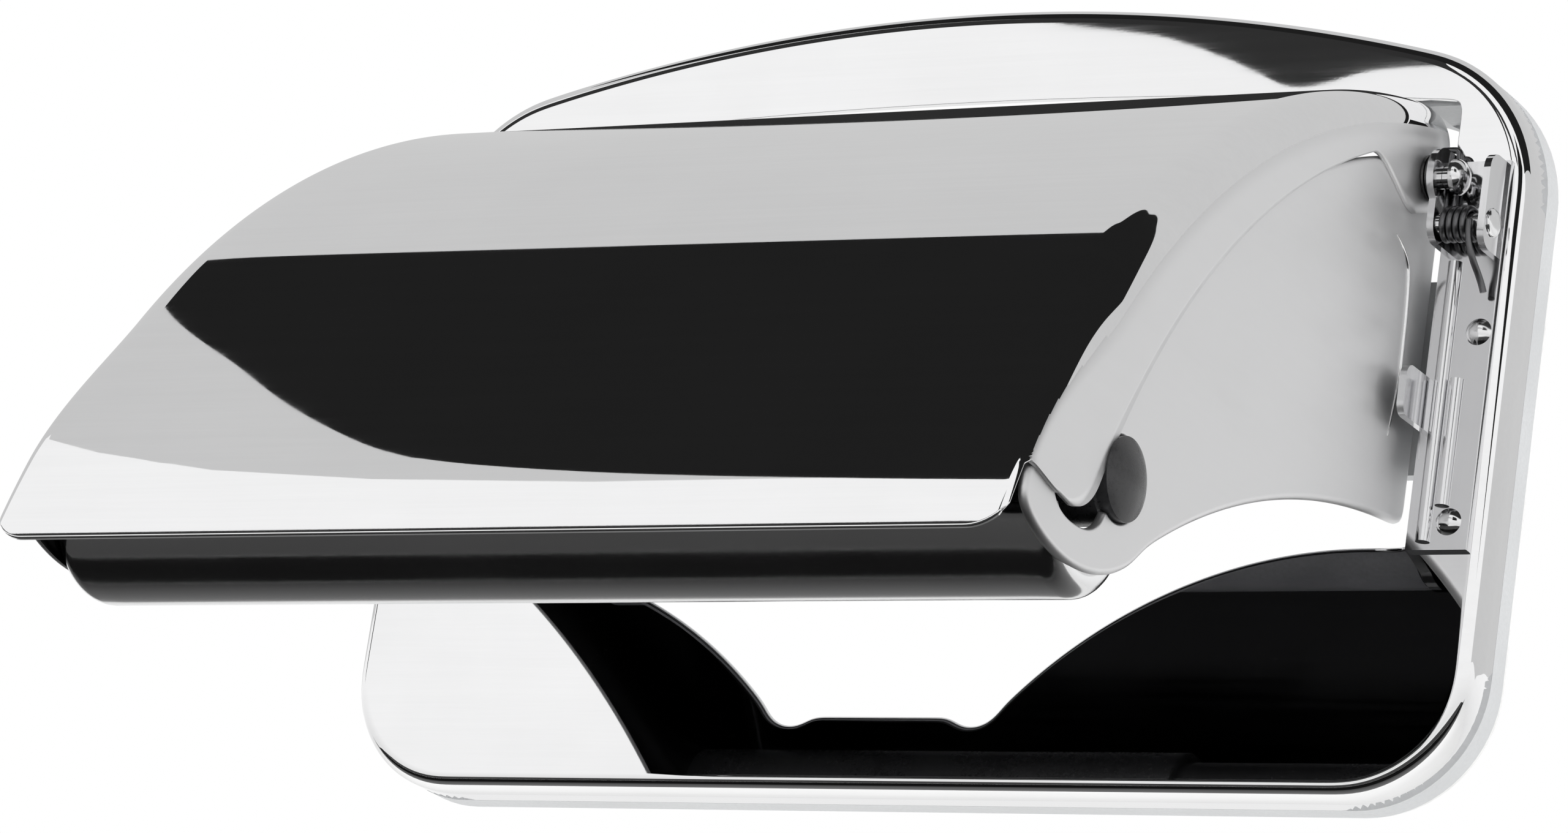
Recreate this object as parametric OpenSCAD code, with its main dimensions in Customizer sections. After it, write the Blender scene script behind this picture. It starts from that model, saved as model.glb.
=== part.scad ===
// Wall-mounted roll dispenser with a sprung, hinged hood.
// +X is to the right, -Y is to the front, away from the wall, and +Z is up.
// The origin is the centre of the four wall-screw holes, on the wall's surface.
// Outlines of side parts are drawn as (distance from the wall, height above the plate's lower edge).

/* [Face plate] */
// Width of the face plate
plate_w = 160; // [150:1:170]
// Height of the plate's straight sides, up to where the arch would start
plate_side_h = 91.3; // [90:0.1:94]
// Height of the arched top above the straight sides
plate_rise = 13; // [11:0.5:15]
// Depth of plate, frame and gasket together, from the wall to the plate's face
face_out = 10.5; // [10.5:0.1:12]
// Thickness of the plate's sheet
plate_t = 0.9; // [0.7:0.1:1.1]
// Depth of the plate's turned-back rim
rim_d = 6.2; // [5.5:0.1:6.2]
// Radius of the plate's lower corners
low_corner_r = 16; // [14:1:18]
// Radius of the plate's upper corners
top_corner_r = 20; // [18:1:22]

/* [Cut-out] */
// Half width of the cut-out
cut_half_w = 70; // [70:0.1:70.3]
// Height of the cut-out's shoulders
shoulder_h = 31.3; // [30:0.1:32]
// Radius of the shoulder curves
shoulder_r = 65; // [62:1:68]
// Half distance between the shoulder curves' centres
shoulder_x = 64; // [62:1:66]
// Height of the cut-out's arched top at its middle
cut_top_h = 91.5; // [91:0.1:92.5]
// Radius of the cut-out's arched top
cut_top_r = 835; // [700:5:1000]
// Radius of the two notches
notch_r = 4.4; // [4:0.1:5.5]
// Half distance between the notches
notch_x = 13; // [13:0.5:15]
// Height of the notches' centres
notch_h = 13; // [13:0.1:14]
// Height of the tab between the notches
tab_h = 9.9; // [9:0.1:11]

/* [Hood] */
// Half width over the hood's side walls
hood_half_w = 68.6; // [68.4:0.1:68.7]
// Thickness of the hood's sheet
hood_t = 0.9; // [0.7:0.1:1.0]
// Outside radius of the hood's curved top
hood_r = 127.8; // [127:0.1:128.5]
// Outside radius of the bend between top and side walls
bend_r = 6; // [4:0.5:7]

/* [Hinge] */
// Distance of the hinge axis from the plate's face
hinge_fwd = 3.7; // [3.6:0.1:3.9]
// Height of the hinge axis
hinge_h = 77; // [76.5:0.1:77.5]
// Radius of the hinge pins
pin_r = 1.4; // [1.2:0.1:1.4]
// Radius of the spring wire
wire_r = 0.45; // [0.4:0.05:0.5]
// Number of turns of each torsion spring
spring_turns = 5; // [4:1:5]

/* [Guide roller and spindle] */
// Radius of the guide roller
roller_r = 6.5; // [6:0.1:6.8]
// Radius of the spindle that carries the roll
spindle_r = 8; // [7:0.5:8]
// Clearance between parts that slide or turn in each other
run_gap = 0.07; // [0.05:0.01:0.09]

/* [Wall mount] */
// Height of the screw pattern's centre above the plate's lower edge
mount_h = 56; // [54:1:58]
// Distance between the screw holes across
screw_dx = 92; // [84:1:96]
// Distance between the screw holes up and down
screw_dz = 14; // [12:1:16]
// Radius of the screw holes
screw_r = 2.25; // [2:0.05:2.5]

/* [Hidden] */
$fn = 96;
eps = 0.01;

// Arched top of the plate: the circle through both upper ends of the straight sides
arch_r = (pow(plate_w / 2, 2) + pow(plate_rise, 2)) / (2 * plate_rise);
arch_h = plate_side_h + plate_rise - arch_r;
// Centre height of an upper corner, where it meets the side and the arch smoothly
top_corner_h = arch_h + sqrt(pow(arch_r - top_corner_r, 2) - pow(plate_w / 2 - top_corner_r, 2));

// Hood profile: the circle's centre, and the profile's back-top and lower-front corners
hood_c = [-26.4, -36.3];
hood_top = [0.3, 88.65];
hood_nose = [94.7, 4.6];
hood_top_angle = atan2(hood_top[1] - hood_c[1], hood_top[0] - hood_c[0]);
hood_nose_angle = atan2(hood_nose[1] - hood_c[1], hood_nose[0] - hood_c[0]);
bend_end_angle = 25;

// Side walls: back edge, lower concave edge and the round boss at the lower front
wall_back = -2.5;
wall_cut_r = 129.6;
wall_cut_c = [-11.85, -94.9];
boss_r = 8.9;
boss_back = [74.5, 13.4];
boss_front = [84, 13.4];
nose_corner_r = 7;
nose_back = 90.9;
wall_heel_r = 11.6;

// Guide roller, its hole and the release hole in front of it
roller_pos = [69.5, 17.7];
nub_r = 4.9;
release_pos = [78, 15];
release_r = 4.6;
nub_dome = 1.2;
tube_wall = 1.2;
tube_split_x = 8;
tube_inner_x = -14;

// Rolled lip
lip_pos = [74.9, 13];
lip_r = 10.4;
lip_start = -22;
lip_end = -160;

// Spindle and its arms
spindle_pos = [27, 41];
spindle_nub_r = 3.5;
arm_x = 60.5;
arm_t = 1.5;
arm_eye_r = 7;
panel_low_h = 43;
panel_top_h = 68;
panel_out = 2;
frame_in = 7;
corner_room_x = 69.6;
corner_room_h = 88.5;

// Hinge bracket
ear_x = 70;
ear_t = 0.9;
strip_w = 8;
strip_t = 1;
strip_low_h = 30.5;
strip_top_h = 80;
outer_ear_x = 76.8;
spring_pos = [3.5, 71];
post_r = 1.3;
coil_r = post_r + run_gap * 2 + wire_r;
coil_x = 70.95;
pin_head_x = 71.95;
pin_head_r = 2.25;
hook_rise = 10.3;
rivet_r = 1.3;
guide_tab = [45.5, 52];
foam_t = 1;

// ---------- helpers ----------

// Puts a part drawn with height measured from the plate's lower edge in the mount's frame
module placed() translate([0, 0, -mount_h]) children();

// Extrudes a front-view outline (x, height) from one distance from the wall to another
module slab(out0, out1) translate([0, -out0, 0]) rotate([90, 0, 0]) linear_extrude(out1 - out0) children();

// Extrudes a side-view outline (forward of the plate's face, height) from x0 to x1
module across(x0, x1)
    translate([x1, -face_out, 0]) rotate([90, 0, -90]) linear_extrude(x1 - x0) children();

// A round bar along X at a side-view position, from x0 to x1
module bar(pos, r, x0, x1)
    translate([x0, -face_out - pos[0], pos[1]]) rotate([0, 90, 0]) cylinder(r = r, h = x1 - x0);

// Turns children about the X axis through a side-view position: their X axis points forward,
// their Y axis up, and they are revolved about their own Z axis, which lies along -X
module about(pos) translate([0, -face_out - pos[0], pos[1]]) rotate([90, 0, -90]) children();

module on_side(s) mirror([s < 0 ? 1 : 0, 0, 0]) children();

// ---------- face plate, frame and gasket ----------

// Outline of the plate, drawn in by a distance
module plate_outline(inset = 0) {
    w = plate_w / 2 - inset;
    top_r = top_corner_r - inset;
    low_r = low_corner_r - inset;
    low_c = [plate_w / 2 - low_corner_r, low_corner_r];
    top_c = [plate_w / 2 - top_corner_r, top_corner_h];
    for (s = [-1, 1]) {
        translate([s * low_c[0], low_c[1]]) circle(low_r);
        translate([s * top_c[0], top_c[1]]) circle(top_r);
    }
    translate([-low_c[0], inset]) square([2 * low_c[0], low_corner_r]);
    translate([-w, low_c[1]]) square([2 * w, top_c[1] - low_c[1]]);
    // The arch spans the sector between the upper corners' centres
    reach = 2 * (arch_r + 1);
    side = reach * top_c[0] / (top_c[1] - arch_h);
    intersection() {
        translate([0, arch_h]) circle(arch_r - inset, $fn = 360);
        polygon([[0, arch_h], [side, arch_h + reach], [-side, arch_h + reach]]);
        translate([-w, low_c[1]]) square([2 * w, plate_side_h + plate_rise]);
    }
}

module cut_outline() {
    difference() {
        translate([-cut_half_w, shoulder_h]) square([2 * cut_half_w, cut_top_h - shoulder_h]);
        difference() {
            translate([-cut_half_w - 1, shoulder_h + 40]) square([2 * cut_half_w + 2, cut_top_h]);
            translate([0, cut_top_h - cut_top_r]) circle(cut_top_r, $fn = 720);
        }
    }
    difference() {
        translate([-shoulder_x, tab_h]) square([2 * shoulder_x, shoulder_h - tab_h + eps]);
        for (s = [-1, 1]) translate([s * shoulder_x, shoulder_h - shoulder_r]) circle(shoulder_r, $fn = 240);
    }
    for (s = [-1, 1]) translate([s * notch_x, notch_h]) circle(notch_r);
}

module face_plate() color("silver") placed() difference() {
    slab(face_out - rim_d, face_out) plate_outline();
    slab(face_out - rim_d - 1, face_out - plate_t) plate_outline(plate_t);
    slab(face_out - rim_d, face_out + 1) cut_outline();
    rivet_holes();
}

module wall_frame() color("gainsboro") placed() difference() {
    union() {
        slab(foam_t, face_out - rim_d) plate_outline();
        slab(0, face_out - plate_t - 0.7) plate_outline(plate_t + 0.3);
    }
    // The part's back is recessed for the gasket
    slab(-1, foam_t) difference() {
        plate_outline();
        plate_outline(3.5);
    }
    // Window above and below the screw panel
    slab(-1, face_out) difference() {
        plate_outline(frame_in);
        translate([-plate_w / 2, panel_low_h]) square([plate_w, panel_top_h - panel_low_h]);
    }
    slab(panel_out, face_out) plate_outline(frame_in);
    // Room for the hood's upper corners, which swing behind the plate
    slab(panel_out, face_out) translate([-corner_room_x, panel_top_h])
        square([2 * corner_room_x, corner_room_h - panel_top_h]);
    slab(-1, face_out) for (x = [-1, 1], z = [-1, 1])
        translate([x * screw_dx / 2, mount_h + z * screw_dz / 2]) circle(screw_r);
    arm_rivet_holes();
}

module wall_gasket() color("whitesmoke") placed() slab(0, foam_t) difference() {
    plate_outline(0.3);
    plate_outline(3.5);
}

// ---------- hinge brackets ----------

rivet_spots = [[75.3, 34], [76.3, 58]];

module rivet_holes() for (s = [-1, 1], p = rivet_spots)
    on_side(s) slab(face_out - rim_d, face_out + strip_t + 1) translate(p) circle(rivet_r);

module ear_outline(front, low, top, r) {
    translate([0, low]) square([front - r, top - low]);
    translate([0, low + r]) square([front, top - low - 2 * r]);
    for (z = [low + r, top - r]) translate([front - r, z]) circle(r);
}

module hinge_bracket(s) color("darkgray") placed() on_side(s) difference() {
    union() {
        slab(face_out, face_out + strip_t) translate([ear_x, strip_low_h])
            square([strip_w, strip_top_h - strip_low_h]);
        // Two stiffening ribs
        for (p = [[72.2, 31.5, 67], [74.2, 36, 52]])
            translate([p[0], -face_out - strip_t, p[1]]) cylinder(r = 0.9, h = p[2] - p[1]);
        // Hinge ear, with the spring's inner ear below it
        across(ear_x, ear_x + ear_t) {
            ear_outline(hinge_fwd + 3.8, 73, 80.6, 3.6);
            ear_outline(spring_pos[0] + 2.4, 68.4, 76, 2.4);
        }
        across(outer_ear_x, outer_ear_x + ear_t) ear_outline(spring_pos[0] + 2.4, 67.4, 79.6, 2.2);
        // Guide tab beside the wall
        across(ear_x, ear_x + ear_t) ear_outline(8, guide_tab[0], guide_tab[1], 1.6);
    }
    bar([hinge_fwd, hinge_h], pin_r + run_gap, ear_x - 1, ear_x + ear_t + 1);
    bar(spring_pos, post_r, ear_x - 1, outer_ear_x + ear_t + 1);
    rivet_holes();
}

module bracket_rivets() color("silver") placed() for (s = [-1, 1], p = rivet_spots) on_side(s) {
    translate([p[0], -face_out + plate_t, p[1]]) rotate([90, 0, 0]) cylinder(r = rivet_r, h = plate_t + strip_t);
    translate([p[0], -face_out - strip_t, p[1]]) rotate([90, 0, 0]) half_dome(1.7, 0.8);
    translate([p[0], -face_out + plate_t + 0.6, p[1]]) rotate([90, 0, 0]) cylinder(r = 1.7, h = 0.6);
}

// A dome of base radius r and height h, standing on the XY plane
module half_dome(r, h) {
    ball = (r * r + h * h) / (2 * h);
    rotate_extrude() intersection() {
        translate([0, h - ball]) circle(ball);
        square([r, h]);
    }
}

// A dome along +X at a side-view position
module x_dome(pos, r, h, x) translate([x, -face_out - pos[0], pos[1]]) rotate([0, 90, 0]) half_dome(r, h);

module spring_post(s) color("silver") placed() on_side(s) {
    bar(spring_pos, post_r, ear_x, outer_ear_x + ear_t + 0.3);
    x_dome(spring_pos, post_r + 0.5, 0.6, outer_ear_x + ear_t);
}

// The closely wound turns make one sleeve, with a leg at each end
module torsion_spring(s) color("dimgray") placed() on_side(s) {
    length = spring_turns * 2 * wire_r;
    // The legs start a little inside the sleeve
    first_x = coil_x + wire_r + 0.05;
    last_x = coil_x + length - wire_r - 0.05;
    leg_fwd = spring_pos[0] - coil_r + 0.06;
    difference() {
        bar(spring_pos, coil_r + wire_r, coil_x, coil_x + length);
        bar(spring_pos, coil_r - wire_r, coil_x - 1, coil_x + length + 1);
    }
    // Leg that rests on the bracket's strip
    wire([last_x, leg_fwd, spring_pos[1]], -7.5);
    // Leg that reaches up past the hinge pin and hooks the hood's wall
    wire([first_x, leg_fwd, spring_pos[1]], hook_rise + wire_r);
    bar([leg_fwd, spring_pos[1] + hook_rise], wire_r - 0.05, hood_half_w + 0.3, first_x);
}

// A straight vertical wire from (x, forward, height) by a length, up or down
module wire(p, length) translate([p[0], -face_out - p[1], p[2] + min(0, length)])
    cylinder(r = wire_r, h = abs(length), $fn = 24);

// ---------- roll arms, spindle and buffers ----------

arm_rivet_spots = [[57.2, 47.5], [57.2, 56]];

module arm_rivet_holes() for (s = [-1, 1], p = arm_rivet_spots)
    on_side(s) slab(-1, panel_out + arm_t + 2) translate(p) circle(rivet_r);

module roll_arm(s) color("silver") placed() on_side(s) difference() {
    union() {
        // Web from the panel to the eye
        across(arm_x, arm_x + arm_t) {
            back = panel_out - face_out;
            polygon([[back, 44], [10, 39], [spindle_pos[0], spindle_pos[1] - arm_eye_r],
                [spindle_pos[0] + 2, spindle_pos[1] + arm_eye_r - 0.3], [10, 51], [back, 60]]);
            translate(spindle_pos) circle(arm_eye_r);
        }
        // Foot on the panel
        slab(panel_out, panel_out + arm_t) translate([arm_x - 6.5, 44]) square([6.5 + eps, 16]);
    }
    bar(spindle_pos, spindle_nub_r + run_gap, arm_x - 1, arm_x + arm_t + 1);
    arm_rivet_holes();
}

module arm_rivets() color("silver") placed() for (s = [-1, 1], p = arm_rivet_spots) on_side(s) {
    translate([p[0], -0.2, p[1]]) rotate([90, 0, 0]) cylinder(r = rivet_r, h = panel_out + arm_t - 0.2);
    translate([p[0], -panel_out - arm_t, p[1]]) rotate([90, 0, 0]) half_dome(2.2, 1);
}

module close_buffer(s) color("black") placed() on_side(s)
    translate([hood_half_w - hood_t / 2, -panel_out, 50]) rotate([90, 0, 0])
        cylinder(r = 2.2, h = face_out + wall_back - panel_out - 0.1);

// Two telescoping halves share one form: a tube, a shoulder and a nub with a domed end.
// The half lies on its axis from x0, its open end, to x1, where the nub starts.
module tube_half(pos, r, bore_r, bore_x1, x0, x1, tip_r, tip_l, dome) difference() {
    union() {
        bar(pos, r, x0, x1);
        bar(pos, tip_r, x1, x1 + tip_l);
        x_dome(pos, tip_r, dome, x1 + tip_l);
    }
    bar(pos, bore_r, x0 - 1, bore_x1);
}

roller_x = hood_half_w - hood_t - 0.4;
spindle_x = arm_x - 0.4;
inner_r = roller_r - tube_wall - run_gap;
spindle_inner_r = spindle_r - tube_wall - run_gap;
spring_x = 46;

module spindle_outer() color("dimgray") placed() mirror([1, 0, 0])
    tube_half(spindle_pos, spindle_r, spindle_r - tube_wall, spring_x, -tube_split_x, spindle_x,
        spindle_nub_r, arm_t + 0.6, 0.8);

module spindle_inner() color("gray") placed()
    tube_half(spindle_pos, spindle_inner_r, spindle_inner_r - tube_wall, spring_x, tube_inner_x, spindle_x,
        spindle_nub_r, arm_t + 0.6, 0.8);

module spring_tube(pos, r, x0, x1) difference() {
    bar(pos, r, x0, x1);
    bar(pos, r - 1.2, x0 - 1, x1 + 1);
}

module spindle_spring() color("silver") placed()
    spring_tube(spindle_pos, spindle_inner_r - tube_wall - 0.3, -spring_x, spring_x);

module roller_outer() color("#181818") placed() mirror([1, 0, 0])
    tube_half(roller_pos, roller_r, roller_r - tube_wall, spring_x, -tube_split_x, roller_x,
        nub_r - run_gap, hood_t + 0.6, nub_dome);

module roller_inner() color("#202020") placed()
    tube_half(roller_pos, inner_r, inner_r - tube_wall, spring_x, tube_inner_x, roller_x,
        nub_r - run_gap, hood_t + 0.6, nub_dome);

module roller_spring() color("silver") placed()
    spring_tube(roller_pos, inner_r - tube_wall - 0.3, -spring_x, spring_x);

// ---------- hood ----------

// Side view of the hood: the walls, and the top sheet with its bends above the nose
module hood_outline() intersection() {
    translate(hood_c) circle(hood_r, $fn = 360);
    union() {
        difference() {
            union() {
                // The back-top corner is rounded about the hinge, so that it swings clear of the wall
                translate([hinge_fwd, hinge_h]) circle(wall_heel_r);
                translate([hinge_fwd, hinge_h]) square([60, 30]);
                translate([wall_back, 0]) square([boss_back[0] - wall_back, hinge_h]);
                translate(boss_back) square([40, hinge_h - boss_back[1]]);
            }
            translate(wall_cut_c) circle(wall_cut_r, $fn = 360);
            translate([wall_back - 20, 0]) square([20, 100]);
        }
        translate(boss_back) circle(boss_r);
        translate(boss_front) circle(boss_r);
        translate([boss_back[0], boss_back[1] - boss_r]) square([boss_front[0] - boss_back[0], boss_r]);
        difference() {
            polygon(concat([hood_c], [for (a = [hood_nose_angle, 50, hood_top_angle])
                hood_c + 1.3 * hood_r * [cos(a), sin(a)]]));
            translate(hood_c) circle(hood_r - bend_r - 1, $fn = 360);
        }
    }
}

// A sector of the hood as a solid, with its side edges rounded, between two angles
module hood_sector(low, high, inset, corner_r, grow = 0)
    about(hood_c) rotate([0, 0, low]) rotate_extrude(angle = high - low, $fn = 360) {
        w = hood_half_w - inset;
        r = hood_r - inset + grow;
        inner = hood_r / 3;
        translate([inner, -w]) square([r - corner_r - inner, 2 * w]);
        if (corner_r > 0) {
            translate([inner, corner_r - w]) square([r - inner, 2 * (w - corner_r)]);
            for (s = [-1, 1]) translate([r - corner_r, s * (w - corner_r)]) circle(corner_r);
        }
    }

module hood_shell() color("lightgray") placed() difference() {
    union() {
        difference() {
            intersection() {
                union() {
                    hood_sector(bend_end_angle, 88, 0, bend_r);
                    hood_sector(10, bend_end_angle + 0.05, 0, 0);
                }
                across(-hood_half_w - 1, hood_half_w + 1) hood_outline();
            }
            hood_sector(bend_end_angle - 0.7, 90, hood_t, bend_r - hood_t);
            // Each step in width keeps these solids' faces apart
            hood_sector(hood_nose_angle, bend_end_angle - 0.65, hood_t + 0.02, 0);
            hood_sector(5, hood_nose_angle + 0.05, hood_t + 0.04, 0, 3);
        }
        // Strip folded back from the nose to the rolled lip
        across(-hood_half_w + hood_t / 2, hood_half_w - hood_t / 2) fold_outline();
    }
    for (s = [-1, 1]) on_side(s) {
        // Rounded lower corner of the front
        slab(face_out + nose_back, face_out + 100) translate([hood_half_w, hood_nose[1]]) difference() {
            translate([-nose_corner_r, -5]) square([nose_corner_r + 1, nose_corner_r + 5]);
            translate([-nose_corner_r, nose_corner_r]) circle(nose_corner_r);
        }
        bar(roller_pos, nub_r, hood_half_w - 2, hood_half_w + 1);
        bar(release_pos, release_r, hood_half_w - 2, hood_half_w + 1);
        bar([hinge_fwd, hinge_h], pin_r, hood_half_w - 2, hood_half_w + 1);
    }
}

module fold_outline() {
    lip_edge = lip_pos + lip_r * [cos(lip_start), sin(lip_start)];
    polygon([hood_nose + [-0.15, 0.15], hood_nose + [-0.6, 1], lip_edge + [-0.3, hood_t], lip_edge]);
}

module tear_lip() color("gray") placed() across(-hood_half_w + hood_t + 0.05, hood_half_w - hood_t - 0.05)
    translate(lip_pos) difference() {
        circle(lip_r);
        circle(lip_r - hood_t);
        rotate(lip_start) translate([-20, 0]) square([40, 20]);
        rotate(lip_end) translate([0, 0]) mirror([0, 1]) square([20, 20]);
    }

module hinge_pin(s) color("silver") placed() on_side(s) {
    axis = [hinge_fwd, hinge_h];
    bar(axis, pin_r, hood_half_w - hood_t - 0.7, pin_head_x + eps);
    bar(axis, pin_r + 0.8, hood_half_w - hood_t - 1.1, hood_half_w - hood_t);
    bar(axis, pin_head_r, pin_head_x, pin_head_x + 0.5);
    x_dome(axis, pin_head_r, 1.5, pin_head_x + 0.5);
}

module pin_washer(s) color("dimgray") placed() on_side(s) difference() {
    bar([hinge_fwd, hinge_h], 2.9, hood_half_w + 0.05, ear_x - 0.1);
    bar([hinge_fwd, hinge_h], pin_r + eps, hood_half_w - 1, ear_x + 1);
}

face_plate();
wall_frame();
wall_gasket();
hinge_bracket(-1);  // hinge_bracket_left
hinge_bracket(1);  // hinge_bracket_right
bracket_rivets();
spring_post(-1);  // spring_post_left
spring_post(1);  // spring_post_right
torsion_spring(-1);  // torsion_spring_left
torsion_spring(1);  // torsion_spring_right
roll_arm(-1);  // roll_arm_left
roll_arm(1);  // roll_arm_right
arm_rivets();
close_buffer(-1);  // close_buffer_left
close_buffer(1);  // close_buffer_right
spindle_outer();
spindle_inner();
spindle_spring();
hood_shell();
tear_lip();
hinge_pin(-1);  // hinge_pin_left
hinge_pin(1);  // hinge_pin_right
pin_washer(-1);  // pin_washer_left
pin_washer(1);  // pin_washer_right
roller_outer();
roller_inner();
roller_spring();
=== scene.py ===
from math import acos, atan2, ceil, cos, degrees, hypot, pi, radians, sin, sqrt

import bmesh
import bpy
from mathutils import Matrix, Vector


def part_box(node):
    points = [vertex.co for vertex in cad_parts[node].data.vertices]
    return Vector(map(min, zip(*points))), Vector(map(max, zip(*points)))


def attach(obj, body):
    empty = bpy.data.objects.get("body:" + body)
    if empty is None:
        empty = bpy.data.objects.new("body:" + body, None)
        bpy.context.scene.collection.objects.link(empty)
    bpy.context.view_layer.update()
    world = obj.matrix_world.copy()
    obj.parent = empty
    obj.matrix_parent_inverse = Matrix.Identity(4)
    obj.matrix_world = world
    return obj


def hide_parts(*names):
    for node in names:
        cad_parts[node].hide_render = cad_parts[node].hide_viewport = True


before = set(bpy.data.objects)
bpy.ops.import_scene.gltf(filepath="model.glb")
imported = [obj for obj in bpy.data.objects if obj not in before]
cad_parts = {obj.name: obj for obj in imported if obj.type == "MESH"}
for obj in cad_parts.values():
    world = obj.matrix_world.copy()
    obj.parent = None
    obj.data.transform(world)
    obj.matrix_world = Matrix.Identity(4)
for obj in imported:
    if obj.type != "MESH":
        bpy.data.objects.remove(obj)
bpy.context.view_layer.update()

MM = 0.001
FACE_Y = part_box("face_plate")[0][1]
LOW_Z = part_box("face_plate")[0][2]


def at(x, v, z):
    """A point in metres from millimetres: x, distance in front of the plate's face, and height
    above the plate's lower edge."""
    return Vector((x * MM, FACE_Y - v * MM, LOW_Z + z * MM))


def smoothstep(t):
    t = min(1.0, max(0.0, t))
    return t * t * (3 - 2 * t)


# ---------------------------------------------------------------- camera

AZIMUTH, ELEVATION, ROLL = radians(32.07), radians(-16.06), radians(8.51)
CAMERA_DISTANCE = 0.74485
LENS, SENSOR = 148.69, 36.0
NEAREST, FARTHEST = 0.01, 50

aim = at(22.82, 68.93, 26.18)
back = Vector((sin(AZIMUTH) * cos(ELEVATION), -cos(AZIMUTH) * cos(ELEVATION), sin(ELEVATION)))
level = Vector((cos(AZIMUTH), sin(AZIMUTH), 0))
upright = back.cross(level)
right = level * cos(ROLL) + upright * sin(ROLL)
up = back.cross(right)
camera_data = bpy.data.cameras.new("camera")
camera_data.lens, camera_data.sensor_width = LENS, SENSOR
camera_data.clip_start, camera_data.clip_end = NEAREST, FARTHEST
camera = bpy.data.objects.new("camera", camera_data)
bpy.context.scene.collection.objects.link(camera)
place = camera.matrix_world.copy()
for row in range(3):
    place[row][0], place[row][1], place[row][2] = right[row], up[row], back[row]
    place[row][3] = (aim + back * CAMERA_DISTANCE)[row]
camera.matrix_world = place
bpy.context.scene.camera = camera

# ---------------------------------------------------------------- materials


class Shader:
    """A material's node tree, with short calls for the nodes used here."""

    def __init__(self, name, **values):
        self.material = bpy.data.materials.new(name)
        self.material.use_nodes = True
        self.tree = self.material.node_tree
        self.bsdf = next(n for n in self.tree.nodes if n.type == "BSDF_PRINCIPLED")
        for socket, value in values.items():
            self.bsdf.inputs[socket.replace("_", " ")].default_value = value
        self.coords = self.tree.nodes.new("ShaderNodeTexCoord").outputs["Object"]

    def link(self, out, into):
        self.tree.links.new(out, into)

    def noise(self, stretch=(1, 1, 1), scale=1000.0, detail=3.0, rough=0.6):
        """Noise in object space; stretch divides the scale along each axis."""
        mapping = self.tree.nodes.new("ShaderNodeMapping")
        mapping.inputs["Scale"].default_value = stretch
        texture = self.tree.nodes.new("ShaderNodeTexNoise")
        texture.inputs["Scale"].default_value = scale
        texture.inputs["Detail"].default_value = detail
        texture.inputs["Roughness"].default_value = rough
        self.link(self.coords, mapping.inputs["Vector"])
        self.link(mapping.outputs["Vector"], texture.inputs["Vector"])
        return texture.outputs["Fac"]

    def spread(self, value, low, high, out_low, out_high):
        node = self.tree.nodes.new("ShaderNodeMapRange")
        node.inputs["From Min"].default_value = low
        node.inputs["From Max"].default_value = high
        node.inputs["To Min"].default_value = out_low
        node.inputs["To Max"].default_value = out_high
        self.link(value, node.inputs["Value"])
        return node.outputs["Result"]

    def ramp(self, value, stops):
        node = self.tree.nodes.new("ShaderNodeValToRGB")
        ramp = node.color_ramp
        while len(ramp.elements) < len(stops):
            ramp.elements.new(0.5)
        for element, (position, shade) in zip(ramp.elements, stops):
            element.position = position
            element.color = (*shade, 1)
        self.link(value, node.inputs["Fac"])
        return node.outputs["Color"]

    def add(self, a, b, operation="ADD"):
        node = self.tree.nodes.new("ShaderNodeMath")
        node.operation = operation
        self.link(a, node.inputs[0])
        if isinstance(b, float):
            node.inputs[1].default_value = b
        else:
            self.link(b, node.inputs[1])
        return node.outputs["Value"]

    def bump(self, *layers):
        """layers are (height output, distance in metres, strength)."""
        normal = None
        for height, distance, strength in layers:
            node = self.tree.nodes.new("ShaderNodeBump")
            node.inputs["Distance"].default_value = distance
            node.inputs["Strength"].default_value = strength
            self.link(height, node.inputs["Height"])
            if normal is not None:
                self.link(normal, node.inputs["Normal"])
            normal = node.outputs["Normal"]
        self.link(normal, self.bsdf.inputs["Normal"])


def polished(name, shade, grain, rough_low, rough_high, wave=1.0):
    """Mirror-polished sheet: drawing lines, faint scratches, smudges and a trace of waviness."""
    s = Shader(name, Metallic=1.0)
    lines = s.noise(grain, 900.0, 4.0, 0.7)
    smudge = s.noise((1, 1, 1), 38.0, 4.0, 0.55)
    pits = s.noise((1, 1, 1), 2600.0, 2.0, 0.5)
    tone = s.add(s.spread(lines, 0.3, 0.7, 0.42, 0.5), s.spread(smudge, 0.3, 0.7, 0.0, 0.12))
    low = tuple(c * 0.93 for c in shade)
    s.link(s.ramp(tone, [(0.4, low), (0.62, shade)]), s.bsdf.inputs["Base Color"])
    rough = s.add(s.spread(lines, 0.3, 0.7, rough_low, rough_high),
                  s.spread(smudge, 0.35, 0.75, 0.0, rough_high * 0.4))
    s.link(rough, s.bsdf.inputs["Roughness"])
    s.bump(
        (s.noise((0.6, 1, 1), 30.0, 1.0, 0.4), 0.00001 * wave, 0.35),
        (lines, 0.0000008 * wave, 0.28),
        (pits, 0.0000009 * wave, 0.16),
    )
    return s.material


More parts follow.
